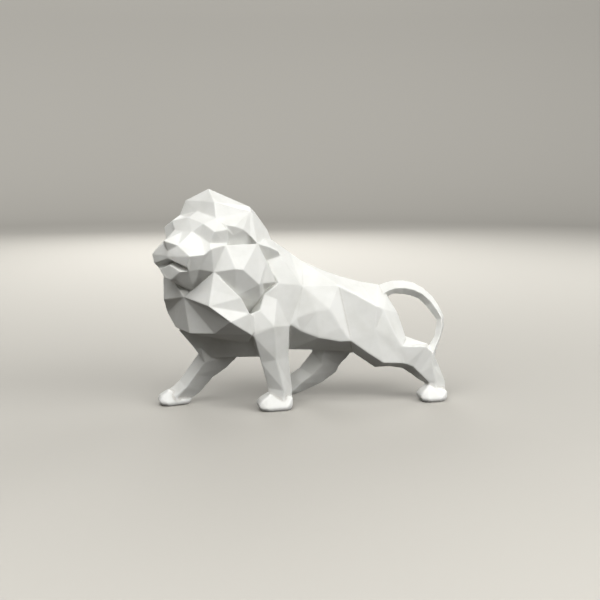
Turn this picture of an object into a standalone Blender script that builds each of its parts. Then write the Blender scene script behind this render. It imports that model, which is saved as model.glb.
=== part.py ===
"""Faceted lion figure, cast in one piece, walking with its head turned toward its left side.

The body runs along X with the head toward -X and the tail toward +X.
The lion's left side faces -Y. Sizes below are in millimetres.
"""
import math

import bmesh
import bpy
from mathutils import Vector

MM = 0.001

# Bend of the neck
HEAD_TURN = math.radians(37.5)
NECK_FRONT = 50.0
NECK_BACK = 112.0
NECK_BACK_X = -37.2
NECK_RADIUS = (NECK_BACK - NECK_FRONT) / HEAD_TURN

# Ground line of the paws
SOLE = 2.5
RIM = 4.0

# Head and mane: setback from the nose along the neck, height
MIDLINE = {
    "nose": (-6.3, 177),
    "nose_foot": (-1, 167),
    "pad_mid": (-1.9, 161.7),
    "lip": (-1.5, 159.5),
    "gullet": (15, 156.5),
    "jaw_tip": (0.5, 154),
    "chin": (1.5, 139.5),
    "throat": (31, 124.5),
    "breast": (18, 121.5),
    "hem": (25, 85.5),
    "bridge": (18.5, 183.5),
    "forehead": (26, 196),
    "brow": (38, 201),
    "crown": (53, 221.5),
    "nape": (99, 202.5),
    "nape_mid": (105, 196),
    "nape_low": (117, 179),
    "withers_in": (122, 166),
    "core": (118, 125),
    "core_low": (104, 82),
}

# Head and mane, each side: setback, half width, height
FACE = {
    "nose_wing": (2.5, 9.8, 172.6),
    "pad": (1.9, 25.7, 163.7),
    "lip_corner": (2.5, 21.2, 152.8),
    "cheek_crease": (5.3, 22.9, 157.9),
    "jowl_front": (9.6, 23.1, 156.4),
    "pad_front": (-0.1, 11.7, 162.2),
    "jaw_edge": (1.7, 13.5, 148.5),
    "jaw_root": (7.4, 18.1, 148.6),
    "chin_side": (3.6, 5, 140.5),
    "jowl": (18.1, 21.4, 149.4),
    "eye_inner": (18.7, 11.6, 183.9),
    "brow_in": (24.9, 20.8, 191.6),
    "brow_out": (38, 24.5, 195.5),
    "eye_top": (26.3, 33.5, 184.7),
    "eye_rear": (41.9, 35, 185.5),
    "eye_low": (41, 32.3, 172.5),
    "eye_front": (23.6, 17.4, 179.4),
    "eye_foot": (24.5, 29.6, 173.7),
    "cheek": (17.7, 28.5, 163.8),
    "cheek_rear": (22.2, 33.4, 169.2),
}
MANE = {
    "crown_side": (41.2, 19.3, 210.3),
    "nape_side": (90.8, 21.1, 199.6),
    "nape_turn": (95.1, 19.4, 197.9),
    "ear_front": (41, 33.4, 189.9),
    "ear_top": (51.6, 36, 188),
    "ear_back": (67.5, 36.5, 184.4),
    "ear_tip": (82.3, 33.3, 178.1),
    "ear_deep": (52.8, 33.2, 179.3),
    "ear_arch": (62.6, 35.4, 182.3),
    "sill_mid": (59.3, 24.2, 160.6),
    "sill_front": (44.1, 33.4, 172.1),
    "sill_rear": (98.1, 20.1, 161.2),
    "hub": (93.2, 35.2, 170.1),
    "temple": (39.2, 35, 171.5),
    "bulge_front": (43, 43.8, 149.2),
    "bulge_rear": (50.6, 47, 148),
    "panel_rear": (108.3, 34.2, 152.9),
    "panel_foot": (89.2, 44.9, 132.1),
    "panel_heel": (120.4, 28.8, 131.4),
    "panel_edge": (98.6, 40.1, 131.9),
    "pocket": (112, 14, 115.6),
    "undercut": (53.3, 34.7, 121.2),
    "undercut_low": (95.3, 8, 95.4),
    "undercut_rear": (104.2, 24, 110.5),
    "undercut_foot": (108.4, 19.3, 92.8),
    "throat_side": (28.6, 30, 146.7),
    "lobe_ridge": (24.1, 30.9, 130.7),
    "lobe": (18.8, 32.5, 115.9),
    "lobe_low": (35.2, 44.2, 100.3),
    "lobe_top": (52.9, 42.3, 121.1),
    "lobe_rear": (69.7, 43.8, 105),
    "lobe_foot": (73.7, 43.7, 84.2),
    "hem_side": (38.6, 20, 85.5),
    "brisket": (88, 18, 70),
}

# Head points that sit differently on the lion's right
HEAD_FAR = {
    "lip_corner": (1.7, 22, 153),
    "pad": (1.7, 24.5, 161.6),
    "jaw_root": (5.5, 20, 149),
    "chin_side": (1.2, 7.5, 141),
    "jowl_front": (5.8, 27, 157.2),
    "jowl": (12.5, 27, 150.5),
    "cheek": (13.7, 32.5, 164.5),
    "throat_side": (24.6, 33.8, 147.5),
    "lobe_ridge": (22.5, 32.4, 131),
    "lobe": (20.7, 30.6, 115.4),
    "lobe_low": (36.5, 43, 100),
    "hem_side": (32, 26.5, 87.3),
}

# Facets of one side; those holding a name with "far" cross the midline
HEAD_FACETS = (
    "nose nose_wing nose_foot",
    "nose nose_wing bridge",
    "nose_wing eye_inner bridge",
    "bridge eye_inner forehead",
    "eye_inner brow_in forehead",
    "forehead brow_in brow",
    "brow_in brow_out brow",
    "brow brow_out crown_side",
    "brow crown_side crown_side_far",
    "crown crown_side crown_side_far",
    "crown crown_side nape",
    "crown_side nape_side nape",
    "crown_side brow_out nape_side",
    "nape nape_side nape_turn nape_mid",
    "brow_out ear_top nape_side",
    "brow_out ear_front ear_top",
    "nape_side ear_top ear_back",
    "nape_side ear_back ear_tip",
    "nape_side ear_tip hub",
    "nape_side hub nape_turn",
    "nape_turn nape_low nape_mid",
    "nape_turn hub nape_low",
    "nape_low hub withers_in",
    "eye_inner eye_front brow_in",
    "brow_in eye_front eye_top",
    "eye_front eye_foot eye_top",
    "eye_top eye_foot eye_low",
    "eye_top eye_low eye_rear",
    "eye_foot temple eye_low",
    "brow_in eye_top brow_out",
    "eye_top eye_rear brow_out",
    "brow_out eye_rear ear_front",
    "ear_front ear_deep ear_top",
    "ear_top ear_deep ear_arch",
    "ear_top ear_arch ear_back",
    "eye_rear sill_front sill_mid",
    "eye_rear sill_mid ear_deep",
    "ear_front eye_rear ear_deep",
    "eye_rear eye_low sill_front",
    "eye_low temple sill_front",
    "ear_deep sill_mid sill_rear",
    "ear_deep sill_rear ear_arch",
    "ear_arch sill_rear ear_back",
    "ear_back sill_rear ear_tip",
    "ear_tip sill_rear hub",
    "sill_front temple sill_mid",
    "sill_mid temple hub",
    "sill_mid hub sill_rear",
    "nose_wing cheek eye_inner",
    "eye_inner cheek eye_front",
    "eye_front cheek eye_foot",
    "eye_foot cheek cheek_rear",
    "eye_foot cheek_rear temple",
    "nose_wing pad cheek",
    "nose_foot nose_wing pad_front",
    "nose_wing pad pad_front",
    "nose_foot pad_front pad_mid",
    "pad_mid pad_front lip",
    "lip pad_front lip_corner",
    "pad_front pad lip_corner",
    "pad lip_corner cheek_crease",
    "pad cheek_crease jowl_front",
    "pad jowl_front cheek",
    "cheek jowl_front jowl",
    "cheek_crease jaw_root jowl_front",
    "jowl_front jaw_root jowl",
    "cheek_crease lip_corner jaw_root",
    "cheek jowl cheek_rear",
    "cheek_rear jowl throat_side",
    "cheek_rear throat_side temple",
    "lip lip_corner gullet",
    "lip_corner jaw_root gullet",
    "jaw_tip jaw_edge gullet",
    "jaw_edge jaw_root gullet",
    "jaw_tip jaw_edge chin",
    "jaw_edge chin_side chin",
    "jaw_edge jaw_root chin_side",
    "chin chin_side throat",
    "chin_side jaw_root throat",
    "jaw_root jowl throat",
    "jowl throat_side throat",
    "throat throat_side breast",
    "throat_side lobe_ridge breast",
    "breast lobe_ridge lobe",
    "throat_side lobe_top lobe_ridge",
    "lobe_ridge lobe_top lobe",
    "lobe lobe_top lobe_rear",
    "lobe lobe_rear lobe_low",
    "lobe_low lobe_rear lobe_foot",
    "breast lobe lobe_low",
    "breast lobe_low hem_side",
    "breast hem_side hem",
    "lobe_low lobe_foot hem_side",
    "temple bulge_front throat_side",
    "temple bulge_rear bulge_front",
    "temple hub bulge_rear",
    "hub panel_foot bulge_rear",
    "hub panel_rear panel_foot",
    "panel_rear panel_heel panel_edge",
    "panel_rear panel_edge panel_foot",
    "throat_side bulge_front undercut",
    "bulge_front bulge_rear undercut",
    "bulge_rear panel_foot undercut",
    "throat_side undercut lobe_top",
    "panel_foot undercut_rear undercut",
    "panel_foot panel_edge undercut_rear",
    "panel_edge panel_heel pocket",
    "panel_edge pocket undercut_rear",
    "undercut_rear undercut_low undercut",
    "undercut_rear undercut_foot undercut_low",
    "lobe_top undercut undercut_low",
    "lobe_top undercut_low lobe_rear",
    "undercut_low undercut_foot lobe_rear",
    "withers_in hub core",
    "hub panel_rear core",
    "panel_rear panel_heel core",
    "panel_heel pocket core",
    "pocket undercut_rear core",
    "undercut_rear undercut_foot core",
    "undercut_foot lobe_rear lobe_foot",
    "undercut_foot lobe_foot brisket",
    "undercut_foot brisket core",
    "hem_side lobe_foot brisket",
    "hem hem_side brisket",
    "hem brisket brisket_far",
    "brisket core core_low",
    "brisket brisket_far core_low",
)

# Trunk midline: distance along the body, height
SPINE = {
    "neck_in": (-62, 158),
    "withers": (-27.3, 168.9),
    "back_a": (-10, 156.6),
    "back_b": (2.5, 147.5),
    "back_c": (22.5, 138.2),
    "back_d": (41.2, 131.1),
    "back_e": (62, 125.2),
    "back_f": (81, 121.5),
    "croup": (90, 112),
    "seat": (97, 92),
    "crotch": (93, 62),
    "keel_d": (56, 52.5),
    "keel_c": (12.4, 56.5),
    "keel_b": (-10, 58),
    "keel_a": (-62, 57),
    "chest_in": (-60, 90),
}

# Trunk, each side: distance along the body, half width, height
TRUNK = {
    "hub_in": (-48, 35, 169.7),
    "scapula_top": (-38.1, 20, 172.3),
    "scapula_mid": (-35.9, 32.2, 165.8),
    "scapula_bend": (-26.6, 27.4, 160.8),
    "scapula_rear": (-24.4, 25.1, 156.3),
    "panel_in": (-37.6, 26.4, 152.4),
    "shoulder": (-28, 33, 130.6),
    "blade": (-3.2, 24.8, 126.8),
    "blade_mid": (-8, 26.5, 110.7),
    "elbow": (-16.1, 28.8, 88.2),
    "blade_in": (-2.3, 24.5, 126),
    "elbow_in": (-15.1, 29.1, 89.2),
    "arm_mid": (-29.6, 34.1, 115.3),
    "arm_tip": (-34, 41.7, 90.5),
    "arm_front": (-42.5, 34.4, 120.5),
    "arm_notch": (-38.2, 21, 125.4),
    "arm_low": (-47.4, 39.8, 106.1),
    "bib": (-58.2, 39.6, 102.7),
    "bib_low": (-56.3, 41.1, 84.8),
    "arm_heel": (-53.9, 40.9, 81.1),
    "side_a": (-8.4, 27.9, 95.4),
    "side_b": (10.6, 29.7, 101.5),
    "side_c": (23.5, 29.9, 103.3),
    "side_d": (34.8, 29.5, 84.6),
    "flank": (34.5, 21.8, 125.3),
    "edge_a": (-3.8, 26.4, 81.5),
    "edge_b": (13.5, 29.8, 74.6),
    "edge_c": (34.3, 28.3, 69.7),
    "fold": (46, 28.1, 69.7),
    "haunch_a": (51.9, 25.6, 116.2),
    "haunch_b": (72.3, 30.1, 104.3),
    "haunch_c": (79.3, 27.4, 100.6),
    "haunch_d": (90.9, 29, 76),
    "haunch_e": (99.1, 29, 63.5),
    "haunch_f": (101, 28.5, 44.5),
    "haunch_g": (79, 31, 46.5),
    "haunch_h": (64, 31, 56.6),
    "haunch_mid": (69.5, 30.8, 80.1),
    "rump_a": (89.3, 8, 110.2),
    "rump_b": (97.8, 15.2, 94.7),
    "rump_c": (104.8, 20.8, 71.4),
    "thigh_in_a": (53.4, 11, 53.6),
    "thigh_in_b": (76.2, 9, 37.6),
    "thigh_in_c": (100, 10, 38),
    "brisket_in": (-46.5, 27.1, 57.7),
}

# Trunk points that sit differently on the lion's right, where the thigh reaches forward
TRUNK_FAR = {
    "haunch_d": (88, 28, 80),
    "haunch_e": (83, 28, 66),
    "haunch_f": (71, 27, 55),
    "haunch_g": (58, 28, 50),
    "haunch_h": (46, 29, 56),
    "fold": (38, 28.6, 68),
    "thigh_in_a": (46, 8, 53),
    "thigh_in_b": (56, 8, 49.5),
    "thigh_in_c": (74, 9, 53),
    "rump_c": (97, 17, 76),
}

TRUNK_FACETS = (
    "neck_in hub_in scapula_top withers",
    "hub_in scapula_mid scapula_top",
    "scapula_top scapula_mid scapula_bend",
    "scapula_top scapula_bend withers",
    "withers scapula_bend scapula_rear",
    "withers scapula_rear back_a",
    "hub_in panel_in scapula_mid",
    "scapula_mid panel_in scapula_bend",
    "scapula_bend panel_in scapula_rear",
    "panel_in shoulder scapula_rear",
    "scapula_rear shoulder blade",
    "scapula_rear blade back_b back_a",
    "back_b blade blade_in",
    "back_b blade_in flank",
    "back_b flank back_c",
    "back_c flank back_d",
    "back_d flank haunch_a",
    "back_d haunch_a back_e",
    "back_e haunch_a haunch_b",
    "back_e haunch_b back_f",
    "back_f haunch_b haunch_c",
    "back_f haunch_c rump_a croup",
    "croup rump_a rump_b seat",
    "seat rump_b rump_c crotch",
    "rump_a haunch_c rump_b",
    "rump_b haunch_c haunch_d",
    "rump_b haunch_d rump_c",
    "rump_c haunch_d haunch_e",
    "rump_c haunch_e haunch_f",
    "shoulder arm_mid blade",
    "blade arm_mid blade_mid",
    "blade_mid arm_mid elbow",
    "arm_mid arm_tip elbow",
    "blade blade_mid blade_in",
    "blade_mid elbow elbow_in",
    "blade_mid elbow_in blade_in",
    "shoulder arm_front arm_mid",
    "arm_front arm_low arm_mid",
    "arm_low arm_tip arm_mid",
    "arm_low bib arm_tip",
    "bib bib_low arm_tip",
    "bib_low arm_heel arm_tip",
    "arm_front arm_notch shoulder",
    "arm_notch panel_in shoulder",
    "blade_in side_c flank",
    "blade_in side_b side_c",
    "blade_in side_a side_b",
    "blade_in elbow_in side_a",
    "elbow_in edge_a side_a",
    "side_a edge_a side_b",
    "side_b edge_a edge_b",
    "side_b edge_b side_d",
    "side_b side_d side_c",
    "side_d edge_b edge_c",
    "side_d edge_c fold",
    "flank side_c side_d",
    "flank side_d fold",
    "flank haunch_mid haunch_a",
    "flank fold haunch_mid",
    "haunch_a haunch_mid haunch_b",
    "haunch_b haunch_mid haunch_c",
    "haunch_c haunch_mid haunch_d",
    "haunch_d haunch_mid haunch_e",
    "haunch_e haunch_mid haunch_f",
    "haunch_f haunch_mid haunch_g",
    "haunch_g haunch_mid haunch_h",
    "haunch_h haunch_mid fold",
    "fold thigh_in_a haunch_h",
    "haunch_h thigh_in_a thigh_in_b haunch_g",
    "haunch_g thigh_in_b thigh_in_c haunch_f",
    "haunch_f thigh_in_c rump_c",
    "thigh_in_c crotch rump_c",
    "thigh_in_b crotch thigh_in_c",
    "thigh_in_a crotch thigh_in_b",
    "thigh_in_a keel_d crotch",
    "fold keel_d thigh_in_a",
    "edge_c keel_d fold",
    "edge_b keel_c edge_c",
    "edge_c keel_c keel_d",
    "edge_a keel_b edge_b",
    "edge_b keel_b keel_c",
    "elbow_in keel_b edge_a",
    "elbow brisket_in keel_b elbow_in",
    "arm_tip arm_heel brisket_in elbow",
    "arm_heel bib_low brisket_in",
    "brisket_in keel_a keel_b",
    "neck_in chest_in hub_in",
    "hub_in chest_in panel_in",
    "panel_in chest_in arm_notch",
    "arm_notch chest_in arm_front",
    "arm_front chest_in arm_low",
    "arm_low chest_in bib",
    "bib chest_in bib_low",
    "bib_low chest_in brisket_in",
    "brisket_in chest_in keel_a",
)

# Legs: each section from the top down, corners as (x, y, z). Four corners run front
# edge, side crease, rear edge, inner crease; the near hind leg has a flat inner side
NEAR_FORELEG = (
    ((-50, -32, 98), (-34, -34, 104), (-20, -26, 102), (-32, -12, 104)),
    ((-53.9, -40.6, 80.9), (-33.9, -41.8, 90.2), (-16, -29, 88.2), (-32, -10, 85)),
    ((-45.4, -31, 53.2), (-30.4, -34, 55.5), (-15.8, -23, 55), (-29, -12, 54)),
    ((-37.1, -24, 25.4), (-21.5, -29, 22.8), (-10.9, -17, 20.3), (-22, -9, 21)),
    ((-37, -22, 10), (-22, -28, 9), (-10.9, -17, 10), (-22, -9, 9)),
)
FAR_FORELEG = (
    ((-112, 18, 72), (-100, 8, 68), (-48, 22, 78), (-80, 36, 76)),
    ((-99.7, 20, 54.3), (-95, 8, 47), (-57, 20, 51.3), (-80, 34, 50)),
    ((-109, 21, 41.4), (-104, 10, 34.5), (-71, 21, 37.6), (-90, 33, 36)),
    ((-119, 22, 27), (-113.2, 11, 21.8), (-85.2, 22, 28), (-103, 33, 24)),
    ((-130, 23, 18), (-124, 12, 12), (-97, 23, 14), (-115, 33, 12)),
    ((-134, 23, 9), (-122, 11.5, 5), (-109, 22, 5), (-118, 32, 5)),
)
FAR_HIND_LEG = (
    ((17, 17, 62), (32, 10, 60), (62, 17, 62), (36, 29, 60)),
    ((16.7, 17, 51.2), (26, 9, 47), (58, 17, 47.3), (34, 29, 49)),
    ((11.8, 18, 44.5), (26, 9, 39), (46.4, 18, 35), (28, 29, 40)),
    ((4, 19, 34.7), (16, 10, 28), (43.5, 19, 28), (24, 29, 29)),
    ((-5, 20, 28.5), (4, 11, 20), (28, 20, 17), (12, 29, 20)),
    ((-14, 21, 19), (-4, 12, 12), (7, 21, 8), (-5, 29, 12)),
    ((-20, 21, 11), (-12, 13, 5), (-4, 21, 4.5), (-12, 29, 5)),
)
NEAR_HIND_LEG = (
    ((80, -10, 40), (81, -28, 48), (88, -28, 62), (94, -22, 74), (94, -10, 76)),
    ((105, -10, 35.4), (104.3, -28, 43.4), (100, -29.5, 62.9), (105.5, -18, 70), (105, -9, 70)),
    ((116, -11, 28), (112, -26, 39.7), (124, -28, 60.9), (129.9, -16, 61), (129, -9, 60)),
    ((121, -11, 24), (118.9, -25, 32.9), (131.9, -27, 54.2), (137.9, -14, 48.3), (137, -9, 48)),
    ((130, -11, 18), (125, -25, 27), (132.2, -27, 39.7), (144.1, -14, 35.4), (143, -9, 35)),
    ((131, -11, 14), (129.6, -24, 22.2), (137, -25, 22), (150, -14, 21), (150, -9, 20)),
    ((131, -12, 6), (130, -24, 7), (138, -25, 7), (152, -15, 8), (151, -10, 8)),
)

# Chest under the mane, reaching forward on the far side with the stride
CHEST = (
    (-121, 5, 82),
    (-108, 24, 82),
    (-99.7, 20, 54.3),
    (-93, 14, 50.5),
    (-60, 34, 54),
    (-50, 30, 90),
    (-40, -26, 57.5),
    (-36, -20, 58),
    (-49, -36, 84),
    (-45, -20, 92),
    (-75, 0, 100),
)

# Paws: toe x, heel x, middle y, toe width, heel width, toe height, instep x, instep height,
# heel height
NEAR_FORE_PAW = (-47, -12, -19, 27, 25, 13.5, -35.5, 19, 15.5)
FAR_FORE_PAW = (-141, -107, 22, 24, 16, 13, -130, 18, 8)
FAR_HIND_PAW = (-27.5, -3, 21, 22, 12, 12, -18, 16, 6)
NEAR_HIND_PAW = (119.5, 149.5, -19.5, 25, 23, 13.5, 129, 19.5, 13)

# Paw corners on the sole and on the rim above it: nearest end, reach in from that end,
# inset from its half width
PAW_SOLE = (("toe", 4, 5), ("toe", 10, 2), ("heel", 8, 2), ("heel", 3, 5))
PAW_RIM = (("toe", 1, 3), ("toe", 8, 0), ("heel", 7, 0), ("heel", 0, 5))
TOE_INSET = 5
TOE_DROP = 4
TOE_ROUND = 3
INSTEP_INSET = 7
HEEL_INSET = 6

# Tail: outer edge, inner edge as (x, z), middle y, half thickness
TAIL = (
    ((74, 118), (78, 100), 0, 10),
    ((88, 122.8), (90, 107.5), 0, 8),
    ((97, 124.7), (98, 110.8), 0, 7),
    ((107.4, 124.8), (107, 110.3), 0, 6.5),
    ((118.1, 122.7), (115.5, 108.6), -1, 6.5),
    ((129, 116.5), (123.4, 105.7), -2, 6.5),
    ((138.9, 107.7), (131.5, 98.5), -3, 6),
    ((145, 98), (137, 91), -5.5, 6),
    ((149.7, 87.3), (141.9, 83.8), -8, 5.5),
    ((149.5, 77), (140.5, 76), -10, 5.5),
    ((146, 68), (138.4, 67.2), -12, 6),
    ((140.5, 55), (131, 58), -15, 7),
    ((137.5, 46), (126, 48), -17, 7),
)

# Corners closer than this are one corner, in metres
MERGE = 0.00005

SURFACE = (0.82, 0.81, 0.78, 1.0)
ROUGHNESS = 0.45


def clear_scene():
    """Empty the scene."""
    for item in list(bpy.data.objects):
        bpy.data.objects.remove(item, do_unlink=True)


def neck_point(setback, side, height):
    """Place a head or mane point on the bent neck; side is positive on the lion's left."""
    bend = min(HEAD_TURN, max(0.0, (NECK_BACK - setback) / NECK_RADIUS))
    x = NECK_BACK_X - NECK_RADIUS * math.sin(bend)
    y = -NECK_RADIUS * (1 - math.cos(bend))
    straight = 0.0
    if setback < NECK_FRONT:
        straight = setback - NECK_FRONT
    if setback > NECK_BACK:
        straight = setback - NECK_BACK
    x += straight * math.cos(bend) + side * math.sin(bend)
    y += straight * math.sin(bend) - side * math.cos(bend)
    return Vector((x, y, height))


def body_point(along, side, height):
    """Place a trunk point; side is positive on the lion's left."""
    return Vector((along, -side, height))


def mesh_object(name, points, faces):
    """Make a closed triangle mesh with its faces turned outward."""
    mesh = bpy.data.meshes.new(name)
    mesh.from_pydata([point * MM for point in points], [], faces)
    work = bmesh.new()
    work.from_mesh(mesh)
    bmesh.ops.triangulate(work, faces=work.faces[:])
    bmesh.ops.recalc_face_normals(work, faces=work.faces[:])
    if work.calc_volume(signed=True) < 0:
        bmesh.ops.reverse_faces(work, faces=work.faces[:])
    work.to_mesh(mesh)
    work.free()
    item = bpy.data.objects.new(name, mesh)
    bpy.context.scene.collection.objects.link(item)
    return item


def mirrored_solid(name, midline, sides, far, facets, place):
    """Close a solid from facets given for one side and repeated on the other.

    Points named in far take their own place on the other side.
    """
    points = []
    index = {}
    for key, (along, height) in midline.items():
        index[key] = len(points)
        index[key + "_far"] = len(points)
        points.append(place(along, 0.0, height))
    for key, (along, side, height) in sides.items():
        index[key] = len(points)
        points.append(place(along, side, height))
        index[key + "_far"] = len(points)
        along, side, height = far.get(key, (along, side, height))
        points.append(place(along, -side, height))
    faces = []
    for facet in facets:
        names = facet.split()
        faces.append([index[key] for key in names])
        crossing = any(key.endswith("_far") for key in names)
        if not crossing:
            faces.append([index[key + "_far"] for key in reversed(names)])
    return mesh_object(name, points, faces)


def loft(name, rings):
    """Skin a row of rings with the same number of corners and cap both ends."""
    count = len(rings[0])
    points = [Vector(corner) for ring in rings for corner in ring]
    faces = []
    for row in range(len(rings) - 1):
        for corner in range(count):
            after = (corner + 1) % count
            low = row * count
            high = low + count
            faces.append((low + corner, low + after, high + after))
            faces.append((low + corner, high + after, high + corner))
    faces.append(tuple(reversed(range(count))))
    last = (len(rings) - 1) * count
    faces.append(tuple(range(last, last + count)))
    return mesh_object(name, points, faces)


def tail(name, sections):
    """Skin the tail from its sections."""
    rings = []
    for outer, inner, middle_y, half in sections:
        crease_x = (outer[0] + inner[0]) / 2
        crease_z = (outer[1] + inner[1]) / 2
        rings.append((
            Vector((outer[0], middle_y, outer[1])),
            Vector((crease_x, middle_y - half, crease_z)),
            Vector((inner[0], middle_y, inner[1])),
            Vector((crease_x, middle_y + half, crease_z)),
        ))
    return loft(name, rings)


def paw(name, sizes):
    """Hull one paw standing on a flat sole."""
    toe, heel, middle, toe_width, heel_width, toe_height, instep, instep_height, heel_height = sizes
    ends = {"toe": (toe, 1, toe_width / 2), "heel": (heel, -1, heel_width / 2)}
    corners = [(end, reach, inset, SOLE) for end, reach, inset in PAW_SOLE]
    corners += [(end, reach, inset, SOLE + RIM) for end, reach, inset in PAW_RIM]
    corners += [
        ("toe", 0, TOE_INSET, toe_height - TOE_DROP),
        ("toe", TOE_ROUND, TOE_INSET, toe_height),
        ("toe", instep - toe, INSTEP_INSET, instep_height),
        ("heel", 0, HEEL_INSET, heel_height),
    ]
    points = []
    for end, reach, inset, height in corners:
        x, inward, half = ends[end]
        for side in (-1, 1):
            points.append((x + inward * reach, middle + side * (half - inset), height))
    return hull(name, points)


def hull(name, points):
    """Close the convex solid round the points."""
    mesh = bpy.data.meshes.new(name)
    work = bmesh.new()
    for point in points:
        work.verts.new(Vector(point) * MM)
    result = bmesh.ops.convex_hull(work, input=work.verts[:])
    spare = [item for item in result["geom_interior"] if isinstance(item, bmesh.types.BMVert)]
    bmesh.ops.delete(work, geom=spare, context="VERTS")
    bmesh.ops.recalc_face_normals(work, faces=work.faces[:])
    work.to_mesh(mesh)
    work.free()
    item = bpy.data.objects.new(name, mesh)
    bpy.context.scene.collection.objects.link(item)
    return item


def fuse(body, addition):
    """Join the addition to the body as one closed solid."""
    modifier = body.modifiers.new("join", "BOOLEAN")
    modifier.operation = "UNION"
    modifier.solver = "EXACT"
    modifier.object = addition
    view = bpy.context.evaluated_depsgraph_get()
    joined = bpy.data.meshes.new_from_object(body.evaluated_get(view))
    body.modifiers.clear()
    body.data = joined
    bpy.data.objects.remove(addition, do_unlink=True)


def settle(body):
    """Stand the solid on z = 0 with its bounding box centred over the origin."""
    points = [vertex.co for vertex in body.data.vertices]
    low = Vector([min(point[axis] for point in points) for axis in range(3)])
    high = Vector([max(point[axis] for point in points) for axis in range(3)])
    shift = Vector(((low.x + high.x) / 2, (low.y + high.y) / 2, low.z))
    for point in points:
        point -= shift


def finish(body):
    """Clean the facets and give the casting its material."""
    work = bmesh.new()
    work.from_mesh(body.data)
    bmesh.ops.remove_doubles(work, verts=work.verts[:], dist=MERGE)
    bmesh.ops.dissolve_degenerate(work, edges=work.edges[:], dist=MERGE)
    bmesh.ops.triangulate(work, faces=work.faces[:])
    bmesh.ops.recalc_face_normals(work, faces=work.faces[:])
    work.to_mesh(body.data)
    work.free()
    material = bpy.data.materials.new("white_casting")
    material.use_nodes = True
    shader = material.node_tree.nodes["Principled BSDF"]
    shader.inputs["Base Color"].default_value = SURFACE
    shader.inputs["Roughness"].default_value = ROUGHNESS
    body.data.materials.clear()
    body.data.materials.append(material)


def main():
    """Build the lion."""
    clear_scene()
    lion = mirrored_solid("lion", SPINE, TRUNK, TRUNK_FAR, TRUNK_FACETS, body_point)
    parts = [
        mirrored_solid("head", MIDLINE, {**FACE, **MANE}, HEAD_FAR, HEAD_FACETS, neck_point),
        hull("chest", CHEST),
        loft("near_foreleg", NEAR_FORELEG),
        loft("far_foreleg", FAR_FORELEG),
        loft("near_hind_leg", NEAR_HIND_LEG),
        loft("far_hind_leg", FAR_HIND_LEG),
        paw("near_fore_paw", NEAR_FORE_PAW),
        paw("far_fore_paw", FAR_FORE_PAW),
        paw("near_hind_paw", NEAR_HIND_PAW),
        paw("far_hind_paw", FAR_HIND_PAW),
        tail("tail", TAIL),
    ]
    for part in parts:
        fuse(lion, part)
    settle(lion)
    finish(lion)


main()
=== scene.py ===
"""Visual model of a white faceted lion ornament, with its camera and studio.

The ornament is a hollow casting in polyester resin with a satin white coat.
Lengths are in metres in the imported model's own frame: the head is at -X and
the lion's left side faces -Y, toward the camera.
"""
import logging
import math
from dataclasses import dataclass, field
from enum import Enum
from typing import Any

import bpy
import numpy as np
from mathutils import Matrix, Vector


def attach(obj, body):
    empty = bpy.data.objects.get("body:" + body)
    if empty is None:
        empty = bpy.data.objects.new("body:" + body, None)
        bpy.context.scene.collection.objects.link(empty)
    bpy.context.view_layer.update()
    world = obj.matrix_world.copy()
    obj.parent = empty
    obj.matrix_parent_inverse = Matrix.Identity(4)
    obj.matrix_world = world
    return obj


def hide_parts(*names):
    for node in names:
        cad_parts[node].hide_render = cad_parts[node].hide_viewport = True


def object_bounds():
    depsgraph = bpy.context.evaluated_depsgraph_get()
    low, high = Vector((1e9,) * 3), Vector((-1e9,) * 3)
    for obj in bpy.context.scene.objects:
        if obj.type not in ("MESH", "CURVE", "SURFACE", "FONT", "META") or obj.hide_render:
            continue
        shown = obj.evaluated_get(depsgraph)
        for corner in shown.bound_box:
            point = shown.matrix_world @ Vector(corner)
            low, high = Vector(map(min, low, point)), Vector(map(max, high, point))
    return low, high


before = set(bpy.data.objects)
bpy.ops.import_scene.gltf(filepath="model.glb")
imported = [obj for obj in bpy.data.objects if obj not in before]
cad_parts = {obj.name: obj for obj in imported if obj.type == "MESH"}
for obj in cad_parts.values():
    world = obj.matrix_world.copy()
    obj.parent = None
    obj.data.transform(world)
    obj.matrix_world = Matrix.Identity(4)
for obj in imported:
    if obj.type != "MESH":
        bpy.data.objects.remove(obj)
CAD_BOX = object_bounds()

LOG = logging.getLogger("lion_scene")
MM = 0.001

# The curve that turns sRGB values into linear ones.
SRGB_KNEE = 0.04045
SRGB_SLOPE = 12.92
SRGB_OFFSET = 0.055
SRGB_POWER = 2.4

# Socket numbers of a Mix node for colours, since several sockets share a name.
MIX_SHARE = 0
MIX_FIRST = 6
MIX_SECOND = 7
MIX_RESULT = 2

# How round the casting's edges are, and how far a paw's rounding reaches.
TRUNK_SOFTNESS = 0.3
PAW_SOFTNESS = 0.85
PAW_REACH = (0.028, 0.022, 0.015)


def linear(code: str) -> tuple[float, float, float, float]:
    """Turn an sRGB hex colour into linear RGBA.

    Args:
        code: Six hex digits, such as "F2F0EB".

    Returns:
        Linear red, green, blue and an alpha of one.
    """
    channels = [int(code[start:start + 2], 16) / 255 for start in (0, 2, 4)]
    red, green, blue = (
        value / SRGB_SLOPE
        if value <= SRGB_KNEE
        else ((value + SRGB_OFFSET) / (1 + SRGB_OFFSET)) ** SRGB_POWER
        for value in channels
    )
    return red, green, blue, 1.0


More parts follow.
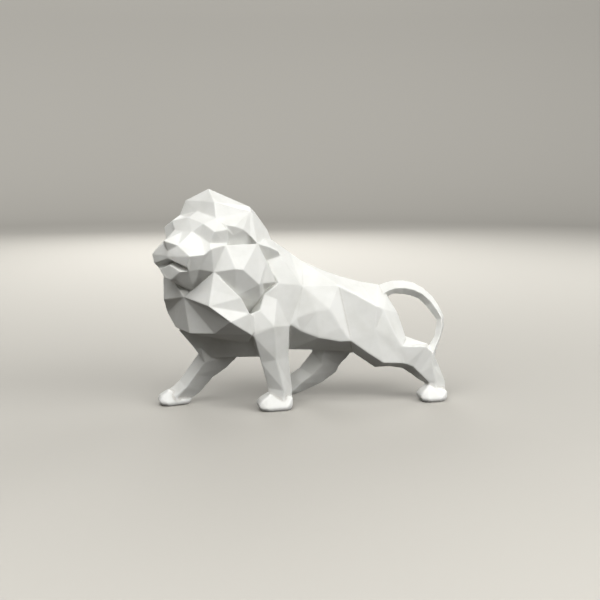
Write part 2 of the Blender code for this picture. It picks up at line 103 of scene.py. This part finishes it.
def add_node(
    tree: bpy.types.NodeTree,
    kind: str,
    settings: dict[str, Any] | None = None,
    links: dict[str | int, bpy.types.NodeSocket] | None = None,
) -> bpy.types.Node:
    """Add a shader node, set it up and link its inputs.

    Args:
        tree: The node tree that takes the node.
        kind: The node's type, such as "ShaderNodeTexNoise".
        settings: Properties of the node, or default values of its inputs by name.
        links: Sockets of other nodes to link, by input name or number.

    Returns:
        The new node.
    """
    node = tree.nodes.new(kind)
    for name, value in (settings or {}).items():
        if name in node.inputs:
            node.inputs[name].default_value = value
        else:
            setattr(node, name, value)
    for name, socket in (links or {}).items():
        tree.links.new(socket, node.inputs[name])
    return node


def empty_material(name: str) -> tuple[bpy.types.Material, bpy.types.NodeTree]:
    """Make a material with nothing in its node tree.

    Args:
        name: The material's name.

    Returns:
        The material and its tree.
    """
    material = bpy.data.materials.new(name)
    material.use_nodes = True
    material.node_tree.nodes.clear()
    return material, material.node_tree


def direction(azimuth: float, elevation: float) -> Vector:
    """Give the unit vector from the lion toward a light or camera.

    Args:
        azimuth: Degrees from -Y toward +X.
        elevation: Degrees above the horizon.

    Returns:
        The direction.
    """
    turn, rise = math.radians(azimuth), math.radians(elevation)
    return Vector((
        math.sin(turn) * math.cos(rise),
        -math.cos(turn) * math.cos(rise),
        math.sin(rise),
    ))


@dataclass(frozen=True)
class CastResin:
    """Polyester resin cast in a silicone mould and sprayed satin white.

    The spray coat gives a soft broad sheen with no sharp reflections, the
    mould's rubbed edges are a touch brighter, partly wear and partly a painted
    highlight, and the creases hold a little grey dust and are darkened further
    by painted shade.
    """

    name: str = "cast_resin_satin_white"
    coat: str = "E9E9E6"
    coat_thin: str = "E1E1DD"
    # Crease colour: grey dust, and also painted shade that darkens the creases.
    dust_and_shade: str = "A39C90"
    # Edge colour: lighter from rubbing wear, and also a painted highlight along the convex
    # edges.
    rubbed_and_highlit: str = "F1F1EF"
    roughness: float = 0.44
    roughness_rubbed: float = 0.36
    ior: float = 1.5
    scatter: float = 0.06
    scatter_mm: float = 2.0
    scatter_reach: tuple[float, float, float] = (1.0, 0.9, 0.8)
    cloud_mm: float = 22.0
    cloud_detail: float = 3.0
    cloud_roughness: float = 0.55
    cloud_range: tuple[float, float] = (0.42, 0.68)
    speckle_mm: float = 1.1
    speckle_detail: float = 2.0
    crease_range: tuple[float, float] = (-0.1, -0.7)
    dust_and_shade_share: float = 0.6
    edge_range: tuple[float, float] = (0.15, 0.8)
    rubbed_and_highlit_share: float = 0.7
    peel_mm: float = 0.9
    peel_detail: float = 1.5
    peel_strength: float = 0.35
    peel_depth_mm: float = 0.02
    relief: str = "relief"

    def make(self) -> bpy.types.Material:
        """Build the finish as a node material.

        Returns:
            The material.
        """
        material, tree = empty_material(self.name)
        place = add_node(tree, "ShaderNodeTexCoord").outputs["Object"]
        colour, roughness = self._coat(tree, place)
        shader = add_node(tree, "ShaderNodeBsdfPrincipled", {
            "IOR": self.ior,
            "Subsurface Weight": self.scatter,
            "Subsurface Scale": self.scatter_mm * MM,
            "Subsurface Radius": self.scatter_reach,
        }, {
            "Base Color": colour,
            "Roughness": roughness,
            "Normal": self._peel(tree, place),
        })
        add_node(tree, "ShaderNodeOutputMaterial", None, {
            "Surface": shader.outputs["BSDF"],
        })
        return material

    def _coat(
        self, tree: bpy.types.NodeTree, place: bpy.types.NodeSocket
    ) -> tuple[bpy.types.NodeSocket, bpy.types.NodeSocket]:
        """Colour the coat: thin clouds, creases darkened by dust and painted shade, and
        rubbed edges lightened by wear and a painted highlight.

        Args:
            tree: The material's tree.
            place: Object coordinates.

        Returns:
            The colour and the roughness.
        """
        clouds = add_node(tree, "ShaderNodeTexNoise", {
            "Scale": 1 / (self.cloud_mm * MM),
            "Detail": self.cloud_detail,
            "Roughness": self.cloud_roughness,
        }, {"Vector": place})
        speckle = add_node(tree, "ShaderNodeTexNoise", {
            "Scale": 1 / (self.speckle_mm * MM), "Detail": self.speckle_detail,
        }, {"Vector": place})
        thin = add_node(tree, "ShaderNodeMapRange", {
            "From Min": self.cloud_range[0], "From Max": self.cloud_range[1],
        }, {"Value": clouds.outputs["Fac"]})
        base = add_node(tree, "ShaderNodeMix", {
            "data_type": "RGBA",
        }, {MIX_SHARE: thin.outputs["Result"]})
        base.inputs[MIX_FIRST].default_value = linear(self.coat)
        base.inputs[MIX_SECOND].default_value = linear(self.coat_thin)
        relief = add_node(tree, "ShaderNodeAttribute", {
            "attribute_name": self.relief,
        })
        # Darkens the concave creases: some grey dust and some painted shade.
        crease = add_node(tree, "ShaderNodeMapRange", {
            "From Min": self.crease_range[0], "From Max": self.crease_range[1],
            "To Min": 0.0, "To Max": self.dust_and_shade_share,
        }, {"Value": relief.outputs["Fac"]})
        uneven = add_node(tree, "ShaderNodeMath", {
            "operation": "MULTIPLY",
        }, {0: crease.outputs["Result"], 1: speckle.outputs["Fac"]})
        dusty_and_shaded = add_node(tree, "ShaderNodeMix", {
            "data_type": "RGBA",
        }, {MIX_SHARE: uneven.outputs["Value"], MIX_FIRST: base.outputs[MIX_RESULT]})
        dusty_and_shaded.inputs[MIX_SECOND].default_value = linear(self.dust_and_shade)
        # Lightens the convex edges: some rubbing wear and some painted highlight.
        edge = add_node(tree, "ShaderNodeMapRange", {
            "From Min": self.edge_range[0], "From Max": self.edge_range[1],
            "To Min": 0.0, "To Max": self.rubbed_and_highlit_share,
        }, {"Value": relief.outputs["Fac"]})
        worn_and_highlit = add_node(tree, "ShaderNodeMix", {
            "data_type": "RGBA",
        }, {MIX_SHARE: edge.outputs["Result"], MIX_FIRST: dusty_and_shaded.outputs[MIX_RESULT]})
        worn_and_highlit.inputs[MIX_SECOND].default_value = linear(self.rubbed_and_highlit)
        roughness = add_node(tree, "ShaderNodeMapRange", {
            "From Min": 0.0, "From Max": self.rubbed_and_highlit_share,
            "To Min": self.roughness, "To Max": self.roughness_rubbed,
        }, {"Value": edge.outputs["Result"]})
        return worn_and_highlit.outputs[MIX_RESULT], roughness.outputs["Result"]

    def _peel(
        self, tree: bpy.types.NodeTree, place: bpy.types.NodeSocket
    ) -> bpy.types.NodeSocket:
        """Give the sprayed coat its faint orange peel.

        Args:
            tree: The material's tree.
            place: Object coordinates.

        Returns:
            The bumped normal.
        """
        grain = add_node(tree, "ShaderNodeTexNoise", {
            "Scale": 1 / (self.peel_mm * MM), "Detail": self.peel_detail,
        }, {"Vector": place})
        bump = add_node(tree, "ShaderNodeBump", {
            "Strength": self.peel_strength, "Distance": self.peel_depth_mm * MM,
        }, {"Height": grain.outputs["Fac"]})
        return bump.outputs["Normal"]


@dataclass(frozen=True)
class MattePaper:
    """Seamless matte studio paper, so the ground shows only soft shadows.

    Its fibre is drawn coarser than real paper fibre, which would not show.
    """

    name: str = "studio_paper"
    colour: str = "BAB7B1"
    roughness: float = 0.85
    gloss: float = 0.2
    fibre_mm: float = 1.5
    fibre_detail: float = 2.0
    fibre_strength: float = 0.1
    fibre_depth_mm: float = 0.02

    def make(self) -> bpy.types.Material:
        """Build the finish as a node material.

        Returns:
            The material.
        """
        material, tree = empty_material(self.name)
        place = add_node(tree, "ShaderNodeTexCoord").outputs["Object"]
        fibre = add_node(tree, "ShaderNodeTexNoise", {
            "Scale": 1 / (self.fibre_mm * MM), "Detail": self.fibre_detail,
        }, {"Vector": place})
        bump = add_node(tree, "ShaderNodeBump", {
            "Strength": self.fibre_strength, "Distance": self.fibre_depth_mm * MM,
        }, {"Height": fibre.outputs["Fac"]})
        shader = add_node(tree, "ShaderNodeBsdfPrincipled", {
            "Base Color": linear(self.colour),
            "Roughness": self.roughness,
            "Specular IOR Level": self.gloss,
        }, {"Normal": bump.outputs["Normal"]})
        add_node(tree, "ShaderNodeOutputMaterial", None, {
            "Surface": shader.outputs["BSDF"],
        })
        return material


@dataclass(frozen=True)
class SoftZone:
    """Part of the casting whose edges are rounder than elsewhere."""

    centre: tuple[float, float, float]
    reach: tuple[float, float, float]
    softness: float


@dataclass
class LionCasting:
    """The lion, one hollow casting whose facets meet in softened edges.

    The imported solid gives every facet; this skin rounds the edges between
    them as the mould and the spray coat do, more on the trunk than the face
    and most on the paws.
    """

    node: str = "lion"
    slot: str = "white_casting"
    name: str = "lion_casting"
    voxel: float = 0.6 * MM
    passes: int = 30
    softness: float = 0.04
    triangles: int = 180000
    flat_weight: int = 80
    relief_full: float = 0.25 * MM
    finish: CastResin = field(default_factory=CastResin)
    zones: tuple[SoftZone, ...] = (
        # The trunk and the rump.
        SoftZone((0.030, 0.010, 0.095), (0.080, 0.060, 0.052), TRUNK_SOFTNESS),
        SoftZone((0.085, 0.005, 0.075), (0.040, 0.045, 0.040), TRUNK_SOFTNESS),
        # The left and right fore paws, then the left and right hind paws.
        SoftZone((-0.031, -0.005, 0.006), PAW_REACH, PAW_SOFTNESS),
        SoftZone((-0.128, 0.036, 0.006), PAW_REACH, PAW_SOFTNESS),
        SoftZone((0.133, -0.006, 0.006), PAW_REACH, PAW_SOFTNESS),
        SoftZone((-0.017, 0.035, 0.006), PAW_REACH, PAW_SOFTNESS),
    )

    def build(self) -> bpy.types.Object:
        """Make the skin, dress it and put it in the place of the solid.

        Returns:
            The visible casting.
        """
        skin = self._dense_skin()
        self._soften(skin)
        piece = bpy.data.objects.new(self.name, skin)
        bpy.context.scene.collection.objects.link(piece)
        self._thin_out(piece)
        piece.data.materials.clear()
        piece.data.materials.append(self.finish.make())
        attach(piece, "root")
        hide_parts(self.node)
        return piece

    def _dense_skin(self) -> bpy.types.Mesh:
        """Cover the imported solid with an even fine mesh.

        Returns:
            The fine mesh.
        """
        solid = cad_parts[self.node].data.copy()
        source = bpy.data.objects.new("solid_copy", solid)
        bpy.context.scene.collection.objects.link(source)
        remesh = source.modifiers.new("even", "REMESH")
        remesh.mode = "VOXEL"
        remesh.voxel_size = self.voxel
        remesh.use_smooth_shade = True
        graph = bpy.context.evaluated_depsgraph_get()
        skin = bpy.data.meshes.new_from_object(source.evaluated_get(graph))
        bpy.data.objects.remove(source, do_unlink=True)
        return skin

    def _shares(self, points: np.ndarray) -> np.ndarray:
        """Say how far each point moves toward its neighbours in one pass.

        Args:
            points: Point positions, one row each.

        Returns:
            One share per point.
        """
        shares = np.full(len(points), self.softness)
        for zone in self.zones:
            offset = (points - np.array(zone.centre)) / np.array(zone.reach)
            # Whole out to half the reach, then fading to none at its end.
            inside = np.clip(2 - 2 * np.linalg.norm(offset, axis=1), 0, 1)
            extra = (zone.softness - self.softness) * inside
            shares = np.maximum(shares, self.softness + extra)
        return shares

    def _soften(self, skin: bpy.types.Mesh) -> None:
        """Round the edges and keep how much each point gave way.

        Args:
            skin: The fine mesh, changed in place.
        """
        count = len(skin.vertices)
        flat = np.empty(count * 3)
        skin.vertices.foreach_get("co", flat)
        points = flat.reshape(count, 3)
        pairs = np.empty(len(skin.edges) * 2, dtype=np.int64)
        skin.edges.foreach_get("vertices", pairs)
        first, second = pairs.reshape(-1, 2).T
        degree = np.bincount(pairs, minlength=count)
        start = points.copy()
        shares = self._shares(points)[:, None]
        for _ in range(self.passes):
            mean = np.stack([
                np.bincount(first, column[second], count)
                + np.bincount(second, column[first], count)
                for column in points.T
            ], axis=1) / degree[:, None]
            points = points + shares * (mean - points)
        points = np.clip(points, CAD_BOX[0], CAD_BOX[1])
        skin.vertices.foreach_set("co", points.ravel())
        skin.update()
        flat = np.empty(count * 3)
        skin.vertices.foreach_get("normal", flat)
        given = ((start - points) * flat.reshape(count, 3)).sum(axis=1)
        relief = skin.attributes.new(self.finish.relief, "FLOAT", "POINT")
        relief.data.foreach_set("value", np.clip(given / self.relief_full, -1, 1))

    def _thin_out(self, piece: bpy.types.Object) -> None:
        """Merge triangles on the flat facets down to the number kept.

        The large triangles left on a facet decide the shading at its rim,
        so a facet stays flat up to the rounded edge.

        Args:
            piece: The casting, changed in place.
        """
        thin = piece.modifiers.new("thin", "DECIMATE")
        # The fine mesh is all quads, and each of them counts as two triangles.
        thin.ratio = min(1.0, self.triangles / (2 * len(piece.data.polygons)))
        thin.use_collapse_triangulate = True
        flat = piece.modifiers.new("flat", "WEIGHTED_NORMAL")
        flat.mode = "FACE_AREA"
        flat.weight = self.flat_weight
        graph = bpy.context.evaluated_depsgraph_get()
        mesh = bpy.data.meshes.new_from_object(piece.evaluated_get(graph))
        piece.modifiers.clear()
        piece.data = mesh


class LightRole(Enum):
    """What each softbox does for the picture."""

    KEY = "key"
    TOP = "top"
    FRONT = "front"
    FILL = "fill"
    BROW = "brow"
    EDGE = "edge"
    BACK = "back"
    BACKDROP = "backdrop"


@dataclass(frozen=True)
class Softbox:
    """A square softbox facing the lion, or the paper round it."""

    role: LightRole
    azimuth: float
    elevation: float
    power: float
    distance: float = 1.6
    side: float = 0.8
    aim: tuple[float, float, float] = (0.0, 0.0, 0.10)
    colour: str = "FFFFFD"

    def build(self) -> None:
        """Place the light."""
        lamp = bpy.data.lights.new(f"softbox_{self.role.value}", "AREA")
        lamp.shape = "SQUARE"
        lamp.size = self.side
        lamp.energy = self.power
        lamp.color = linear(self.colour)[:3]
        holder = bpy.data.objects.new(lamp.name, lamp)
        toward = direction(self.azimuth, self.elevation)
        holder.location = Vector(self.aim) + toward * self.distance
        holder.rotation_euler = toward.to_track_quat("Z", "Y").to_euler()
        bpy.context.scene.collection.objects.link(holder)


@dataclass
class Studio:
    """Pale paper floor that curves up all round, softboxes and an even sky.

    Each wash lights one side of the paper backdrop. It is given by the degrees
    round from the side behind the lion and the power in watts.
    """

    floor_radius: float = 2.0
    bend: float = 0.6
    backdrop_height: float = 3.0
    bend_steps: int = 16
    turn_steps: int = 96
    washes: tuple[tuple[float, float], ...] = (
        (0, 34), (90, 14), (180, 14), (270, 14),
    )
    wash_height: float = 0.85
    wash_elevation: float = 30.0
    wash_distance: float = 1.7
    wash_side: float = 1.4
    sky: str = "E3DBCD"
    sky_strength: float = 0.05
    paper: MattePaper = field(default_factory=MattePaper)
    softboxes: tuple[Softbox, ...] = (
        Softbox(LightRole.KEY, 50, 25, 12.5),
        Softbox(LightRole.TOP, -25, 60, 9.6),
        Softbox(LightRole.FILL, -60, 42, 5.4),
        Softbox(LightRole.FRONT, 20, 28, 6.8),
        Softbox(LightRole.BROW, -30, 42, 3.6),
        Softbox(LightRole.EDGE, 120, 25, 4.0),
        Softbox(LightRole.BACK, 175, 22, 7.5),
    )

    def build(self) -> None:
        """Put up the paper, the lights and the sky."""
        self._sweep()
        for softbox in self.softboxes:
            softbox.build()
        for turn, power in self.washes:
            self._wash(turn, power)
        self._sky()

    def _wash(self, turn: float, power: float) -> None:
        """Light one side of the paper backdrop from above, away from the lion.

        Args:
            turn: Degrees round from the side behind the lion.
            power: The light's power in watts.
        """
        foot = direction(turn, 0) * -(self.floor_radius + self.bend / 2)
        Softbox(
            LightRole.BACKDROP, turn, self.wash_elevation, power,
            self.wash_distance, self.wash_side, (foot.x, foot.y, self.wash_height),
        ).build()

    def _sweep(self) -> None:
        """Lay the paper: a round floor that curves up into a backdrop.

        It throws no light back up, so the lion's undersides stay in deep shade.
        """
        profile = []
        for step in range(self.bend_steps + 1):
            turn = math.radians(90) * step / self.bend_steps
            profile.append((
                self.floor_radius + self.bend * math.sin(turn),
                self.bend * (1 - math.cos(turn)),
            ))
        profile.append((self.floor_radius + self.bend, self.backdrop_height))
        points = [(0.0, 0.0, 0.0)]
        for radius, height in profile:
            for step in range(self.turn_steps):
                turn = 2 * math.pi * step / self.turn_steps
                points.append((
                    radius * math.cos(turn), radius * math.sin(turn), height,
                ))
        faces = []
        for step in range(self.turn_steps):
            after = (step + 1) % self.turn_steps
            faces.append((0, 1 + step, 1 + after))
            for row in range(len(profile) - 1):
                low = 1 + row * self.turn_steps
                high = low + self.turn_steps
                faces.append((low + step, high + step, high + after, low + after))
        mesh = bpy.data.meshes.new("paper_sweep")
        mesh.from_pydata(points, [], faces)
        for polygon in mesh.polygons:
            polygon.use_smooth = True
        paper = bpy.data.objects.new("paper_sweep", mesh)
        paper.data.materials.append(self.paper.make())
        paper.visible_diffuse = False
        bpy.context.scene.collection.objects.link(paper)

    def _sky(self) -> None:
        """Light everything a little from all round, slightly warm."""
        world = bpy.data.worlds.new("studio_room")
        world.use_nodes = True
        background = world.node_tree.nodes["Background"]
        background.inputs["Color"].default_value = linear(self.sky)
        background.inputs["Strength"].default_value = self.sky_strength
        bpy.context.scene.world = world


@dataclass(frozen=True)
class PhotoCamera:
    """The camera as the photograph was taken; lens and sensor are in mm."""

    target: tuple[float, float, float] = (-0.00138, 0.01377, 0.1055)
    azimuth: float = -12.5
    elevation: float = 9.4
    distance: float = 1.1
    lens: float = 66.0
    sensor: float = 36.0
    clip_start: float = 0.01

    def build(self) -> None:
        """Place the camera and make it the scene's."""
        camera = bpy.data.cameras.new("photo_camera")
        camera.lens = self.lens
        camera.sensor_width = self.sensor
        camera.clip_start = self.clip_start
        holder = bpy.data.objects.new("photo_camera", camera)
        back = direction(self.azimuth, self.elevation)
        holder.location = Vector(self.target) + back * self.distance
        holder.rotation_euler = back.to_track_quat("Z", "Y").to_euler()
        bpy.context.scene.collection.objects.link(holder)
        bpy.context.scene.camera = holder


def main() -> None:
    """Build the camera, the studio and the lion, and note the sizes."""
    logging.basicConfig(level=logging.INFO, format="%(message)s")
    bpy.context.scene.view_settings.view_transform = "Standard"
    PhotoCamera().build()
    Studio().build()
    piece = LionCasting().build()
    LOG.info("%s: %d triangles", piece.name, len(piece.data.polygons))


if __name__ == "__main__":
    main()
